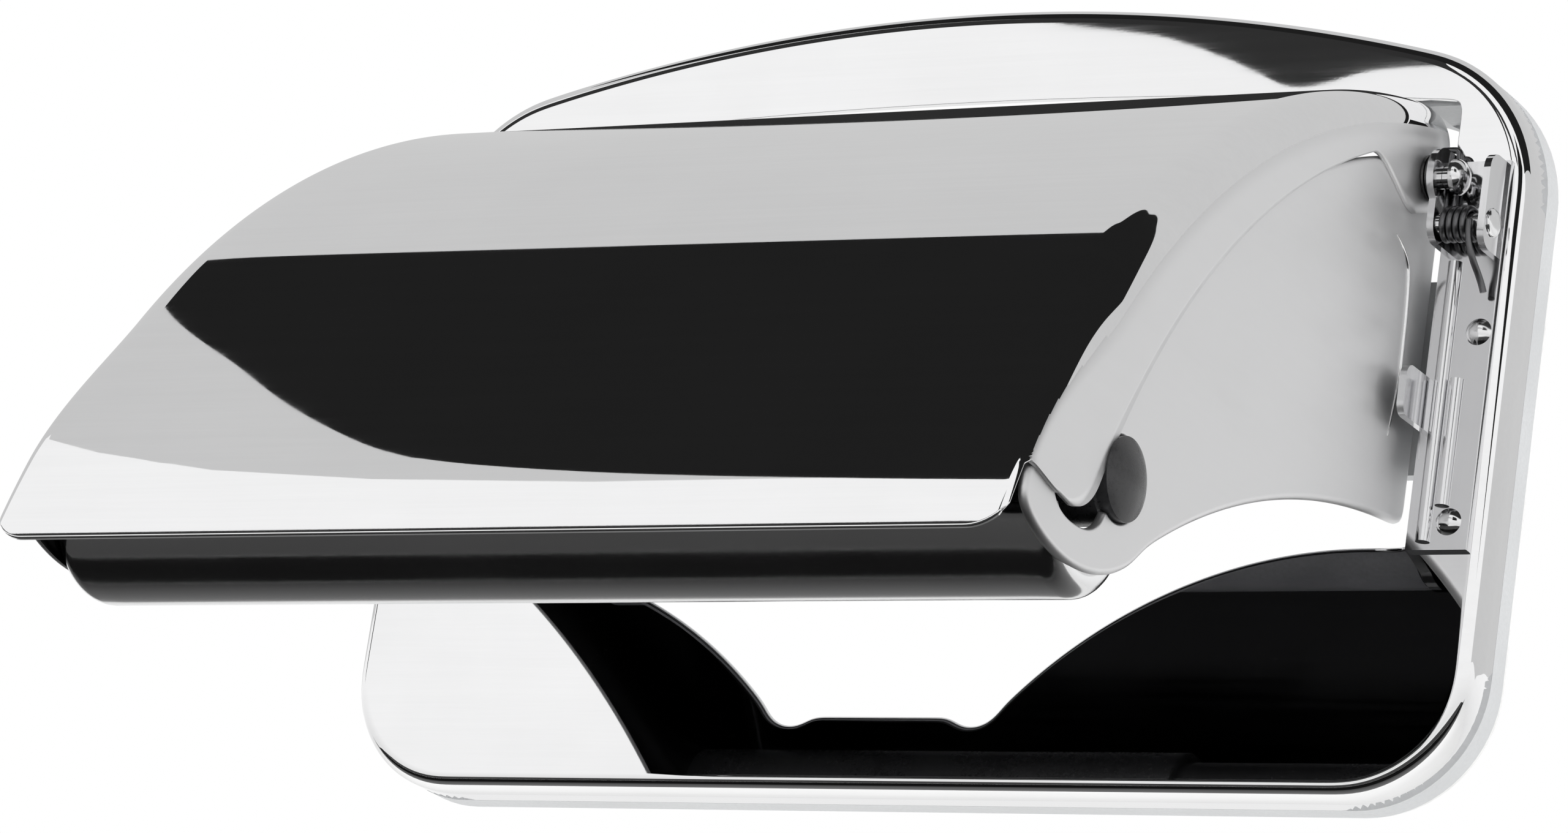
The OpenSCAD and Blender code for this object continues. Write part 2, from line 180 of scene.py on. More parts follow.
def plastic(name, shade, rough, grain_size, depth, fleck=0.15):
    """Moulded plastic, rubber or foam: fine spark texture, mottled tone and rubbed patches."""
    s = Shader(name, Metallic=0.0)
    fine = s.noise((1, 1, 1), grain_size, 3.0, 0.6)
    patch = s.noise((1, 1, 1), 60.0, 3.0, 0.5)
    low = tuple(c * (1 - fleck) for c in shade)
    high = tuple(min(1.0, c * (1 + fleck)) for c in shade)
    tone = s.ramp(s.add(fine, patch, "MULTIPLY"), [(0.12, low), (0.4, high)])
    s.link(tone, s.bsdf.inputs["Base Color"])
    worn = s.spread(patch, 0.3, 0.7, rough * 0.85, rough * 1.15)
    s.link(s.add(worn, s.spread(fine, 0.3, 0.7, 0.0, 0.05)), s.bsdf.inputs["Roughness"])
    s.bump((fine, depth, 0.6), (patch, depth * 4, 0.2))
    return s.material


ALONG_X, ALONG_Y, ALONG_Z, NO_GRAIN = (0.025, 1, 1), (1, 0.05, 0.4), (1, 1, 0.03), (1, 1, 1)
steel = polished("steel_mirror", (0.93, 0.93, 0.935), ALONG_X, 0.008, 0.022, 0.3)
steel_lip = polished("steel_lip", (0.90, 0.90, 0.905), ALONG_X, 0.11, 0.16, 0.5)
steel_wall = polished("steel_wall", (0.90, 0.90, 0.905), ALONG_Y, 0.36, 0.46, 0.5)
# Near-black steel for the inner faces of the hood's sheet and of the side walls: painted shade for
# the dark inside of the hood
steel_painted_shade = polished("steel_inside_painted_shade", (0.045, 0.045, 0.047), ALONG_X, 0.10, 0.22)
steel_strip = polished("steel_bracket", (0.80, 0.80, 0.81), ALONG_Z, 0.05, 0.12, 3.0)
steel_pin = polished("steel_pin", (0.86, 0.86, 0.865), (0.3, 1, 1), 0.06, 0.14)
# Near-black steel for the pin washers
steel_black = polished("steel_near_black", (0.10, 0.10, 0.10), NO_GRAIN, 0.2, 0.32)
wire = polished("spring_wire", (0.16, 0.16, 0.165), NO_GRAIN, 0.18, 0.3)
frame_grey = plastic("frame_plastic", (0.60, 0.61, 0.62), 0.36, 2200.0, 0.00001, 0.06)
foam = plastic("gasket_foam", (0.86, 0.86, 0.855), 0.85, 900.0, 0.00005, 0.10)
black_gloss = plastic("roller_plastic", (0.018, 0.018, 0.019), 0.24, 1800.0, 0.000004, 0.3)
spindle_grey = plastic("spindle_plastic", (0.055, 0.055, 0.06), 0.42, 1800.0, 0.00001, 0.2)
rubber = plastic("buffer_rubber", (0.03, 0.03, 0.03), 0.75, 1500.0, 0.00002, 0.25)

# ---------------------------------------------------------------- mesh helpers


def arc(cx, cy, r, start, end, steps):
    """Points on an arc, both ends included, angles in degrees."""
    return [(cx + r * cos(radians(start + (end - start) * k / steps)),
             cy + r * sin(radians(start + (end - start) * k / steps))) for k in range(steps + 1)]


def resampled(points, spacing, passes):
    """A closed outline at even spacing, with its corners rounded by averaging."""
    loop = points + points[:1]
    lengths = [hypot(b[0] - a[0], b[1] - a[1]) for a, b in zip(loop, loop[1:])]
    count = ceil(sum(lengths) / spacing)
    step, out, k, used = sum(lengths) / count, [], 0, 0.0
    for n in range(count):
        want = n * step
        while k < len(lengths) - 1 and used + lengths[k] < want:
            used += lengths[k]
            k += 1
        t = (want - used) / lengths[k] if lengths[k] else 0.0
        a, b = loop[k], loop[k + 1]
        out.append((a[0] + (b[0] - a[0]) * t, a[1] + (b[1] - a[1]) * t))
    for _ in range(passes):
        out = [((before[0] + 2 * p[0] + after[0]) / 4, (before[1] + 2 * p[1] + after[1]) / 4)
               for before, p, after in zip(out[-1:] + out[:-1], out, out[1:] + out[:1])]
    return out


def grown(points, distance):
    """A counter-clockwise outline moved outwards, or inwards where distance is negative."""
    out, count = [], len(points)
    for i, p in enumerate(points):
        a, b = points[i - 1], points[(i + 1) % count]
        dx, dy = b[0] - a[0], b[1] - a[1]
        size = hypot(dx, dy) or 1.0
        out.append((p[0] + distance * dy / size, p[1] - distance * dx / size))
    return out


class Skin:
    """A mesh built of rings, bands and filled outlines."""

    def __init__(self):
        self.bm = bmesh.new()

    def ring(self, points):
        return [self.bm.verts.new(p) for p in points]

    def band(self, a, b, closed=True, slot=0):
        count = len(a)
        for i in range(count if closed else count - 1):
            j = (i + 1) % count
            face = self.bm.faces.new((a[i], a[j], b[j], b[i]))
            face.material_index = slot

    def bands(self, rings, closed=True, slot=0):
        for a, b in zip(rings, rings[1:]):
            self.band(a, b, closed, slot)

    def fill(self, normal, *loops, slot=0):
        edges = []
        for loop in loops:
            for a, b in zip(loop, loop[1:] + loop[:1]):
                edges.append(self.bm.edges.get((a, b)) or self.bm.edges.new((a, b)))
        made = bmesh.ops.triangle_fill(self.bm, use_beauty=True, edges=edges, normal=normal)
        for g in made["geom"]:
            if isinstance(g, bmesh.types.BMFace):
                g.material_index = slot

    def piece(self, name, body, materials, replaced=(), sharp=35, recalc=True):
        if recalc:
            bmesh.ops.recalc_face_normals(self.bm, faces=self.bm.faces)
        mesh = bpy.data.meshes.new(name)
        self.bm.to_mesh(mesh)
        self.bm.free()
        for polygon in mesh.polygons:
            polygon.use_smooth = True
        mesh.set_sharp_from_angle(angle=radians(sharp))
        for material in materials:
            mesh.materials.append(material)
        obj = bpy.data.objects.new(name, mesh)
        bpy.context.scene.collection.objects.link(obj)
        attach(obj, body)
        if replaced:
            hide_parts(*replaced)
        return obj


def quarter(steps):
    """Angles from 0 to a right angle, both ends included."""
    return [pi / 2 * k / steps for k in range(steps + 1)]


def rounded_edge(radius, steps):
    """(inset, depth) pairs of a rounded edge, from the flat face to the side."""
    return [(radius * (1 - sin(a)), radius * (1 - cos(a))) for a in quarter(steps)]


def wire_curve(name, points, radius, round_steps, material, body, end_share=1.0):
    """A round bar along points in mm. Its radius at both ends is end_share of the radius."""
    curve = bpy.data.curves.new(name, "CURVE")
    curve.dimensions = "3D"
    curve.bevel_depth, curve.bevel_resolution = radius * MM, round_steps
    curve.use_fill_caps = True
    spline = curve.splines.new("NURBS")
    spline.points.add(len(points) - 1)
    for point, (x, v, z) in zip(spline.points, points):
        point.co = (*at(x, v, z), 1)
        point.radius = 1.0
    spline.points[0].radius = spline.points[-1].radius = end_share
    spline.use_endpoint_u, spline.order_u = True, 3
    curve.materials.append(material)
    obj = bpy.data.objects.new(name, curve)
    bpy.context.scene.collection.objects.link(obj)
    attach(obj, body)
    return obj


def lathe(name, body, centre, profile, material, replaced=(), segments=96, side=1):
    """Revolves (x, radius) pairs in mm round an axis along X through centre = (v, z)."""
    skin = Skin()
    rings = []
    turn = [2 * pi * k / segments for k in range(segments)]
    for x, r in profile:
        spokes = [(0, 0)] if r <= 0 else [(r * cos(a), r * sin(a)) for a in turn]
        circle = [at(side * x, centre[0] + dv, centre[1] + dz) for dv, dz in spokes]
        rings.append(skin.ring(circle))
    for a, b in zip(rings, rings[1:]):
        if len(a) == 1 or len(b) == 1:
            tip, rim = (a[0], b) if len(a) == 1 else (b[0], a)
            for i in range(segments):
                skin.bm.faces.new((tip, rim[i], rim[(i + 1) % segments]))
        else:
            skin.band(a, b)
    return skin.piece(name, body, [material], replaced)


# ---------------------------------------------------------------- face plate

PLATE_W, SIDE_H, RISE = 160.0, 91.3, 13.0
LOW_R, TOP_R = 16.0, 20.0
PLATE_T, RIM_D, RIM_BEND = 0.9, 6.2, 2.0
ARCH_R = ((PLATE_W / 2) ** 2 + RISE**2) / (2 * RISE)
ARCH_Z = SIDE_H + RISE - ARCH_R
TOP_X = PLATE_W / 2 - TOP_R
TOP_Z = ARCH_Z + sqrt((ARCH_R - TOP_R) ** 2 - TOP_X**2)
TOP_TURN = degrees(atan2(TOP_Z - ARCH_Z, TOP_X))


def plate_outline():
    low_x = PLATE_W / 2 - LOW_R
    right_side = arc(low_x, LOW_R, LOW_R, -90, 0, 30) + arc(TOP_X, TOP_Z, TOP_R, 0, TOP_TURN, 30)
    arch = arc(0, ARCH_Z, ARCH_R, TOP_TURN, 180 - TOP_TURN, 120)[1:-1]
    return right_side + arch + [(-x, z) for x, z in reversed(right_side)]


CUT_X, SHOULDER_Z, SHOULDER_R, SHOULDER_X = 70.0, 31.3, 65.0, 64.0
NOTCH_X, NOTCH_Z, NOTCH_R, TAB_Z = 13.0, 13.0, 4.4, 9.9
CUT_TOP, CUT_TOP_R = 91.5, 835.0
# The cut-out's rounded edge, which gets smaller by FADE over the height FADE_H from FADE_Z up
CUT_EDGE, FADE, FADE_Z, FADE_H = 0.75, 0.85, 60, 24


def cut_outline():
    reach = hypot(SHOULDER_X - NOTCH_X, SHOULDER_Z - SHOULDER_R - NOTCH_Z)
    down = degrees(atan2(SHOULDER_Z - SHOULDER_R - NOTCH_Z, SHOULDER_X - NOTCH_X))
    spread = degrees(acos((NOTCH_R**2 + reach**2 - SHOULDER_R**2) / (2 * NOTCH_R * reach)))
    meet = radians(down + spread)
    meet = (NOTCH_X + NOTCH_R * cos(meet), NOTCH_Z + NOTCH_R * sin(meet))
    tab_turn = degrees(atan2(TAB_Z - NOTCH_Z, -sqrt(NOTCH_R**2 - (TAB_Z - NOTCH_Z) ** 2)))
    shoulder_z = SHOULDER_Z - SHOULDER_R
    side = arc(NOTCH_X, NOTCH_Z, NOTCH_R, tab_turn, down + spread, 24)
    side += arc(SHOULDER_X, shoulder_z, SHOULDER_R,
                degrees(atan2(meet[1] - shoulder_z, meet[0] - SHOULDER_X)), 90, 40)
    top = CUT_TOP - CUT_TOP_R
    edge = degrees(atan2(sqrt(CUT_TOP_R**2 - CUT_X**2), CUT_X))
    side += [(CUT_X, SHOULDER_Z)]
    side += arc(0, top, CUT_TOP_R, edge, 90, 30)[:-1]
    return side + [(-x, z) for x, z in reversed(side)]


def on_plate(points, depth):
    return [at(x, -depth, z) for x, z in points]


skin = Skin()
rim_line = resampled(plate_outline(), spacing=1.1, passes=2)
rim_section = [(RIM_BEND + 0.15, 0.0)] + rounded_edge(RIM_BEND, 9) + [(0.0, RIM_D - 0.1)]
rim_section += [(0.1, RIM_D), (0.8, RIM_D), (PLATE_T, RIM_D - 0.1), (PLATE_T, RIM_BEND)]
rim_section += [(1.25, 1.2), (RIM_BEND, PLATE_T), (RIM_BEND + 0.15, PLATE_T)]
outer = [skin.ring(on_plate(grown(rim_line, -inset), depth)) for inset, depth in rim_section]
skin.bands(outer)
cut = resampled(cut_outline(), spacing=0.55, passes=6)
cut_section = [(CUT_EDGE + 0.12, 0.0)] + rounded_edge(CUT_EDGE, 6)
cut_section += [(0.0, 0.84), (0.05, PLATE_T), (CUT_EDGE, PLATE_T)]
inner = []
for grow, depth in cut_section:
    ring = []
    for near, far in zip(cut, grown(cut, grow)):
        share = 1 - FADE * smoothstep((near[1] - FADE_Z) / FADE_H)
        ring.append(at(near[0] + (far[0] - near[0]) * share,
                       -depth * (share if depth < CUT_EDGE else 1),
                       near[1] + (far[1] - near[1]) * share))
    inner.append(skin.ring(ring))
skin.bands(inner)
skin.fill((0, -1, 0), outer[0], inner[0])
skin.fill((0, 1, 0), outer[-1], inner[-1])
skin.piece("plate_skin", "wall_unit", [steel], ["face_plate"], sharp=50)

# ---------------------------------------------------------------- hood

HOOD_V, HOOD_Z, HOOD_R = -26.4, -36.3, 127.79
HALF_W, NOSE_HALF_W, CORNER_R, SHEET_T = 68.6, 68.3, 4.8, 0.6
TOP_ANGLE, TONGUE_ANGLE, NOSE_ANGLE = 77.9, 23.6, 18.7
# The side bends get sharper over SHARPEN_SPAN degrees, and in front only their first NOSE_TURN
# degrees are left
BEND_R, LOW_BEND_R, SHARPEN_ANGLE, SHARPEN_SPAN, NOSE_TURN = 6.0, 1.5, 36.0, 12, 40
# The flange that each bend leads to: its end's radius at FLANGE_ANGLE, what that gains by the
# degree, the step beside the hinge and the rounded tongue in front
FLANGE_R, FLANGE_ANGLE, FLANGE_GAIN = 113.6, 25.0, 0.152
STEP, STEP_ANGLE, STEP_SPAN = 8.2, 67.8, 5.6
TONGUE_R, TONGUE_SPAN = 120.0, 3.4


def polar(r, angle):
    return HOOD_V + r * cos(radians(angle)), HOOD_Z + r * sin(radians(angle))


def flange_end(angle):
    """Radius at which the sheet's side flange ends over the side wall."""
    r = FLANGE_R + FLANGE_GAIN * (angle - FLANGE_ANGLE)
    r -= STEP * smoothstep((angle - STEP_ANGLE) / STEP_SPAN)
    tongue = min(1.0, max(0.0, (angle - TONGUE_ANGLE) / TONGUE_SPAN))
    return TONGUE_R - (TONGUE_R - r) * sqrt(1 - (1 - tongue) ** 2)


def low_angle(x):
    """The front's lower edge, with rounded corners."""
    beyond = max(0.0, abs(x) - (NOSE_HALF_W - CORNER_R))
    rise = CORNER_R - sqrt(max(0.0, CORNER_R**2 - beyond**2))
    return NOSE_ANGLE + degrees(rise / HOOD_R)


MIDDLE, ENDS, BEND_STEPS, FLANGE_STEPS = 40, 12, 26, 7
BACK_ROWS, FRONT_ROWS = 180, 48


def hood_row(t):
    """One row of points across the hood. t runs from 0, the back edge, over 1, the tongues, to 2,
    the nose."""
    above = TOP_ANGLE + (TONGUE_ANGLE - TOP_ANGLE) * min(t, 1.0)
    bend = BEND_R - (BEND_R - LOW_BEND_R) * smoothstep((SHARPEN_ANGLE - above) / SHARPEN_SPAN)
    end = flange_end(above) if t <= 1 else TONGUE_R
    flange, curve = HOOD_R - bend - end, bend * pi / 2
    cut = (flange + curve * (1 - NOSE_TURN / 90)) * smoothstep((t - 1) / 0.3)
    row = []
    along_all = [flange * k / FLANGE_STEPS for k in range(FLANGE_STEPS)]
    along_all += [flange + curve * k / BEND_STEPS for k in range(BEND_STEPS + 1)]
    for along in along_all:
        along = cut + along * (flange + curve - cut) / (flange + curve)
        if along < flange:
            row.append((HALF_W, end + along))
        else:
            turn = (along - flange) / bend
            row.append((HALF_W - bend + bend * cos(turn), HOOD_R - bend + bend * sin(turn)))
    inner = HALF_W - BEND_R - 2
    flat = HALF_W - bend
    row += [(flat + (inner - HALF_W + bend) * k / ENDS, HOOD_R) for k in range(1, ENDS + 1)]
    half = row + [(inner * (1 - k / MIDDLE * 2), HOOD_R) for k in range(1, MIDDLE // 2)]
    out = []
    for x, r in half + [(0.0, HOOD_R)] + [(-x, r) for x, r in reversed(half)]:
        angle = above + (low_angle(x) - above) * max(0.0, t - 1)
        out.append(at(x, *polar(r, angle)))
    return out


skin = Skin()
rows = [hood_row(k / BACK_ROWS) for k in range(BACK_ROWS + 1)]
rows += [hood_row(1 + k / FRONT_ROWS) for k in range(1, FRONT_ROWS + 1)]
skin.bands([skin.ring(row) for row in rows], closed=False)
FLANGE_X = HALF_W - 0.3  # the flanges, from here out, have the side walls' finish
for face in skin.bm.faces:
    if abs(face.calc_center_median().x) > FLANGE_X * MM:
        face.material_index = 1
hood = skin.piece("hood_skin", "hood", [steel, steel_wall, steel_painted_shade],
                  ["hood_shell"], sharp=60, recalc=False)
if sum(face.normal.dot(Vector((0, -1, 1))) for face in hood.data.polygons) < 0:
    hood.data.flip_normals()
solid = hood.modifiers.new("sheet", "SOLIDIFY")
solid.thickness, solid.offset = SHEET_T * MM, -1
solid.use_even_offset = False
# The sheet's inner face takes the third material, the near-black painted shade
solid.material_offset = 2

# Side walls, each a plate behind the sheet's flange
WALL_X, WALL_T, WALL_EDGE = 68.05, 1.0, 0.75
WALL_R, BEHIND_BEND_R, NOSE_GAIN, WALL_TOP = 119.6, 124.5, 2.2, (-1.9, 78.0)
LOWER_V, LOWER_Z, LOWER_R = -11.85, -94.9, 129.6
LOWER_BACK, LOWER_FRONT = (-1.9, 34.3), (61.0, 12.6)
BOSS_V, BOSS_Z, BOSS_R, BOSS_FRONT = 77.7, 29.3, 24.2, [(90.6, 9.4), (90.4, 14.0)]
ROLLER, ROLLER_HOLE = (69.5, 17.7), 4.9
RELEASE, RELEASE_W, RELEASE_H = (78.2, 14.4), 6.2, 4.5


def wall_outline():
    """Curved upper edge, back edge, hollow lower edge and the boss round the roller's hole."""
    points = arc(HOOD_V, HOOD_Z, WALL_R, 25.0, 77.4, 60)
    points += [WALL_TOP]
    start, end = (degrees(atan2(z - LOWER_Z, v - LOWER_V)) for v, z in (LOWER_BACK, LOWER_FRONT))
    points += arc(LOWER_V, LOWER_Z, LOWER_R, start, end, 60)
    points += arc(BOSS_V, BOSS_Z, BOSS_R, 236, 298, 40)
    points += BOSS_FRONT
    clipped = []
    for v, z in points:
        angle = degrees(atan2(z - HOOD_Z, v - HOOD_V))
        most = BEHIND_BEND_R + NOSE_GAIN * smoothstep((25.5 - angle) / 2)
        if hypot(v - HOOD_V, z - HOOD_Z) > most:
            v, z = polar(most, angle)
        clipped.append((v, z))
    return clipped


def keyhole_outline():
    """The roller's hole and the wider release hole in front of it, as one outline round a point
    in both."""
    hub = (73.4, 16.0)
    holes = ((ROLLER, ROLLER_HOLE, ROLLER_HOLE, 2.0), (RELEASE, RELEASE_W, RELEASE_H, 2.4))
    points = []
    for k in range(180):
        dv, dz = cos(radians(2 * k)), sin(radians(2 * k))
        reach = 0.0
        for centre, w, h, power in holes:
            near, far = 0.0, 14.0
            for _ in range(24):
                middle = (near + far) / 2
                side = abs((hub[0] + dv * middle - centre[0]) / w) ** power
                side += abs((hub[1] + dz * middle - centre[1]) / h) ** power
                near, far = (middle, far) if side < 1 else (near, middle)
            reach = max(reach, near)
        points.append((hub[0] + dv * reach, hub[1] + dz * reach))
    return points


SIDES = ((-1, "left"), (1, "right"))
outline = resampled(wall_outline(), spacing=0.9, passes=4)
keyhole = resampled(keyhole_outline(), spacing=0.35, passes=4)
wall_section = [(WALL_EDGE + 0.1, 0.0, 0.5)] + [(*pair, 0.5) for pair in rounded_edge(WALL_EDGE, 6)]
wall_section += [(0.02, WALL_T - 0.06, 1), (0.08, WALL_T, 1)]
for s, name in SIDES:
    skin = Skin()
    rim, hole = [], []
    for inset, depth, hole_share in wall_section:
        x = s * (WALL_X - depth)
        rim.append(skin.ring([at(x, v, z) for v, z in grown(outline, -inset)]))
        hole.append(skin.ring([at(x, v, z) for v, z in grown(keyhole, inset * hole_share)]))
    skin.bands(rim)
    skin.bands(hole)
    skin.fill((s, 0, 0), rim[0], hole[0], slot=0)
    # The wall's inner face takes the near-black painted shade
    skin.fill((-s, 0, 0), rim[-1], hole[-1], slot=1)
    skin.piece(f"hood_wall_{name}", "hood", [steel_wall, steel_painted_shade], sharp=50)

# ---------------------------------------------------------------- rolled lip

LIP_V, LIP_Z, LIP_R, LIP_X, LIP_END_R, LIP_T = 74.9, 13.0, 10.4, 67.6, 2.6, 0.8
LIP_START, LIP_END, LIP_STEPS, FOLD_X = -22, -160, 80, 60
NOSE_BACK = polar(HOOD_R - 0.9, NOSE_ANGLE + 0.25)


def lip_profile(squeeze, folded):
    """The fold behind the nose and the roll after it, outer side first."""
    r = LIP_R - squeeze
    fold = [NOSE_BACK] if folded else arc(LIP_V, LIP_Z, r, -19, -20, 2)[:1]
    outside = fold + arc(LIP_V, LIP_Z, r, LIP_START, LIP_END, LIP_STEPS)
    inside = arc(LIP_V, LIP_Z, r - LIP_T, LIP_END, LIP_START, LIP_STEPS)
    return outside + inside + [(fold[0][0] - 0.1, fold[0][1] + LIP_T)]


skin = Skin()
ends = [(LIP_X - inset, squeeze) for inset, squeeze in rounded_edge(LIP_END_R, 8)][::-1]
middle = [(x, 0.0) for x in (-FOLD_X - 2, -FOLD_X + 2, -20, 20, FOLD_X - 2, FOLD_X + 2)]
sections = [(-x, squeeze) for x, squeeze in ends] + middle + ends[::-1]
lip_rings = []
for x, squeeze in sections:
    profile = lip_profile(squeeze, folded=abs(x) < FOLD_X)
    lip_rings.append(skin.ring([at(x, v, z) for v, z in profile]))
skin.bands(lip_rings)
for rim in (lip_rings[0], lip_rings[-1]):
    for i in range(len(rim) // 2 - 1):
        skin.bm.faces.new((rim[i], rim[i + 1], rim[-2 - i], rim[-1 - i]))
skin.piece("lip_skin", "hood", [steel_lip], ["tear_lip"], sharp=40)

# ---------------------------------------------------------------- turned parts

# Every profile is (x, radius) in mm, from the middle of the dispenser outwards
PIN, POST = (3.7, 77.0), (3.5, 71.0)
PIN_R, PIN_HEAD_R, PIN_HEAD_X, PIN_DOME = 1.4, 2.25, 72.45, 1.5
pin = [(67.0, 0), (67.0, 2.2), (67.4, 2.2), (67.4, PIN_R), (71.9, PIN_R), (71.95, 1.5)]
pin += [(71.95, 2.1), (72.05, PIN_HEAD_R)]
pin += [(PIN_HEAD_X + PIN_DOME * sin(a), PIN_HEAD_R * cos(a)) for a in quarter(12)[:-1]]
pin += [(PIN_HEAD_X + PIN_DOME, 0)]
washer = [(68.66, 1.42), (68.66, 2.7), (68.8, 2.88), (69.1, 2.9), (69.2, 2.6), (69.3, 2.9)]
washer += [(69.7, 2.88), (69.85, 2.7), (69.85, 1.42), (68.66, 1.42)]
POST_R, POST_HEAD_R, POST_HEAD_X, POST_DOME = 1.3, 1.8, 77.85, 0.45
post = [(70.0, 0), (70.0, POST_R), (77.7, POST_R), (77.72, 1.75), (POST_HEAD_X, POST_HEAD_R)]
post += [(POST_HEAD_X + POST_DOME * sin(a), POST_HEAD_R * cos(a)) for a in quarter(8)[1:-1]]
post += [(POST_HEAD_X + POST_DOME, 0)]
for s, name in SIDES:
    lathe(f"pin_{name}", "hood", PIN, pin, steel_pin, [f"hinge_pin_{name}"], 64, s)
    lathe(f"washer_{name}", "hood", PIN, washer, steel_black,
          [f"pin_washer_{name}"], 64, s)
    lathe(f"post_{name}", "wall_unit", POST, post, steel_pin,
          [f"spring_post_{name}"], 48, s)

NUB_R, NUB_DOME, NUB_END, TUBE_END, BORE_END = 4.83, 1.2, 70.0, 67.3, 46.0
ball = (NUB_R**2 + NUB_DOME**2) / (2 * NUB_DOME)
reach = atan2(NUB_R, ball - NUB_DOME)
dome = [(NUB_END - ball + ball * cos(a), ball * sin(a))
        for a in [reach * (1 - k / 14) for k in range(14)]] + [(NUB_END, 0)]
for s, body, node, r, start_x, bore in ((-1, "guide_roller", "roller_outer", 6.5, -8.0, 5.3),
                                        (1, "roller_tip", "roller_inner", 5.23, -14.0, 4.03)):
    tube = [(BORE_END, 0), (BORE_END, bore), (start_x, bore), (start_x, r - 0.1)]
    tube += [(start_x + 0.1, r), (TUBE_END - 0.2, r), (TUBE_END, r - 0.2), (TUBE_END, NUB_R)]
    lathe(f"{node}_skin", body, ROLLER, tube + dome, black_gloss, [node], 96, s)

# ---------------------------------------------------------------- springs and pressed lines

COIL_X, COIL_W, COIL_R, TURNS, TURN_STEPS, WIRE_R = 71.42, 4.05, 1.87, 4.5, 24, 0.43
hook_v, leg_v = POST[0] - COIL_R, POST[0] + COIL_R
spring = [(69.0, hook_v, 81.3), (70.6, hook_v, 81.35), (71.15, hook_v, 81.2)]
spring += [(71.4, hook_v, 80.7), (COIL_X, hook_v, 78.0), (COIL_X, hook_v, 74.0)]
coil_steps = TURNS * TURN_STEPS
for k in range(int(coil_steps) + 1):
    a = pi + 2 * pi * k / TURN_STEPS
    v, z = POST[0] + COIL_R * cos(a), POST[1] + COIL_R * sin(a)
    spring.append((COIL_X + COIL_W * k / coil_steps, v, z))
spring += [(75.5, leg_v, 69.0), (75.9, leg_v - 0.6, 66.5), (76.6, 2.6, 63.9), (76.9, 2.2, 62.6)]
for s, name in SIDES:
    coil = wire_curve(f"spring_{name}", [(s * x, v, z) for x, v, z in spring], WIRE_R, 5,
                      wire, "wall_unit")
    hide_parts(f"torsion_spring_{name}")

# A raised line down the back of each side wall
LINE_R = 0.28
line = [(9.6, 67.8), (5.8, 66.6), (4.6, 61.9), (4.3, 55.1), (4.2, 50.3), (5.5, 43.5)]
for s, name in SIDES:
    wire_curve(f"wall_line_{name}", [(s * WALL_X, v, z) for v, z in line], LINE_R, 4,
               steel_pin, "hood", end_share=0.4)

# ---------------------------------------------------------------- carried-over CAD nodes

# Material and width in metres of the rounded edges of each node that shows as it is in the CAD
LOOKS = {
    "wall_frame": (frame_grey, 0.00035), "wall_gasket": (foam, 0.0002),
    "hinge_bracket_left": (steel_strip, 0.00022), "hinge_bracket_right": (steel_strip, 0.00022),
    "bracket_rivets": (steel_pin, 0), "arm_rivets": (steel_pin, 0),
    "roll_arm_left": (steel_strip, 0.00025), "roll_arm_right": (steel_strip, 0.00025),
    "close_buffer_left": (rubber, 0.0003), "close_buffer_right": (rubber, 0.0003),
    "spindle_outer": (spindle_grey, 0), "spindle_inner": (spindle_grey, 0),
    "spindle_spring": (wire, 0), "roller_spring": (wire, 0),
}
for node, (material, width) in LOOKS.items():
    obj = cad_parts[node]
    obj.data.materials.clear()
    obj.data.materials.append(material)
    for polygon in obj.data.polygons:
        polygon.use_smooth = True
    obj.data.set_sharp_from_angle(angle=radians(32))
    if width:
        bevel = obj.modifiers.new("edge", "BEVEL")
        bevel.width, bevel.segments = width, 3
        bevel.limit_method, bevel.angle_limit = "ANGLE", radians(40)
        bevel.use_clamp_overlap = True

# ---------------------------------------------------------------- stage and light


def put(mesh, name):
    """A stage object, which isn't part of the model."""
    obj = bpy.data.objects.new(name, mesh)
    bpy.context.scene.collection.objects.link(obj)
    return obj


def emission(name, shade, fade=None):
    """fade is (y at the first shade, y at the second shade, second shade)."""
    material = bpy.data.materials.new(name)
    material.use_nodes = True
    tree = material.node_tree
    tree.nodes.clear()
    glow = tree.nodes.new("ShaderNodeEmission")
    if fade:
        spot = tree.nodes.new("ShaderNodeTexCoord")
        split = tree.nodes.new("ShaderNodeSeparateXYZ")
        level = tree.nodes.new("ShaderNodeMapRange")
        tree.links.new(spot.outputs["Object"], split.inputs["Vector"])
        tree.links.new(split.outputs["Y"], level.inputs["Value"])
        for socket, value in (("From Min", fade[0]), ("From Max", fade[1]),
                              ("To Min", shade), ("To Max", fade[2])):
            level.inputs[socket].default_value = value
        tree.links.new(level.outputs["Result"], glow.inputs["Strength"])
    else:
        glow.inputs["Strength"].default_value = shade
    glow.inputs["Color"].default_value = (1, 1, 1, 1)
    out = tree.nodes.new("ShaderNodeOutputMaterial")
    tree.links.new(glow.outputs["Emission"], out.inputs["Surface"])
    return material


def card(name, corners, shade, fade=None):
    """A flat studio card that only mirrors see. corners are millimetres, as at() takes them."""
    mesh = bpy.data.meshes.new(name)
    mesh.from_pydata([at(*c) for c in corners], [], [list(range(len(corners)))])
    mesh.materials.append(emission(name, shade, fade))
    obj = put(mesh, name)
    obj.visible_camera = obj.visible_diffuse = obj.visible_shadow = False
    return obj


# A grey ceiling, and under it a black flag with a rounded corner in front on the left, which
# is the dark patch on the hood
CEILING_Z, FLAG_Z = 640, 600
ceiling = [(-2600, -2500), (2600, -2500), (2600, 432), (-440, 432), (-500, 418), (-540, 392)]
ceiling += [(-562, 350), (-572, 305), (-2600, 300)]
card("ceiling", [(x, v, CEILING_Z) for x, v in ceiling], 0.62)
flag = [(-482, -64), (-216, -38), (-119, 5), (128, 12), (319, -50), (531, -160), (740, -290)]
flag += [(950, -440), (950, 470), (100, 470), (-150, 440), (-320, 418), (-400, 397)]
flag += [(-450, 362), (-454, 270), (-456, 170), (-472, 50)]
card("flag_overhead", [(x, v, FLAG_Z) for x, v in resampled(flag, spacing=8, passes=14)], 0.014)
